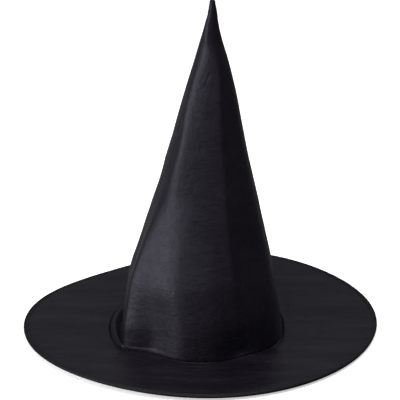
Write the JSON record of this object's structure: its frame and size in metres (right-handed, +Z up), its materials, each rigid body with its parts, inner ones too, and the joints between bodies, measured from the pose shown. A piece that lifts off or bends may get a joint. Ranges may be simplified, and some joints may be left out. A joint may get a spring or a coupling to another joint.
{
  "type": "witch hat",
  "caption": "Tall pointed cloth crown sewn to a flat round wired brim with a bound edge; the soft point of the crown can flop over sideways.",
  "frame": {"origin": "centre of the brim's circle, at the underside of the edge binding that the hat stands on", "axes": "+Z up through the crown, -Y the front of the hat, +Y the back, where the crown's seam runs; the crown leans a little to +X"},
  "size_m": [0.38, 0.38, 0.382],
  "materials": {
    "crown_cloth": "satin",
    "brim_cloth": "satin",
    "binding_tape": "matte",
    "interlining": "matte",
    "thread": "satin",
    "spring_steel": "satin"
  },
  "bodies": {
    "hat": {"brim_top_panel": "brim_cloth", "brim_bottom_panel": "brim_cloth", "brim_interlining": "interlining", "brim_edge_binding": "binding_tape", "brim_binding_stitching": "thread", "brim_hoop_wire": "spring_steel", "brim_hoop_ferrule": "spring_steel", "head_seam_binding": "binding_tape", "head_seam_stitching": "thread", "crown_panel_lower": "crown_cloth", "crown_panel_fold": "crown_cloth", "crown_interlining_lower": "interlining", "crown_interlining_fold": "interlining", "crown_seam_thread_lower": "thread", "crown_seam_thread_fold": "thread"},
    "crown_tip": {"crown_panel_tip": "crown_cloth", "crown_interlining_tip": "interlining", "crown_seam_thread_tip": "thread", "tip_seam_allowance": "crown_cloth"}
  },
  "joints": [
    {"name": "crown_flop", "type": "hinge", "parent": "hat", "child": "crown_tip", "pos_m": [0.0079, 0, 0.22], "axis": [0, 1, 0], "range_deg": [-60, 60], "stiffness_Nm_per_rad": 0.03, "deforming": ["crown_panel_fold", "crown_interlining_fold", "crown_seam_thread_fold"]}
  ]
}
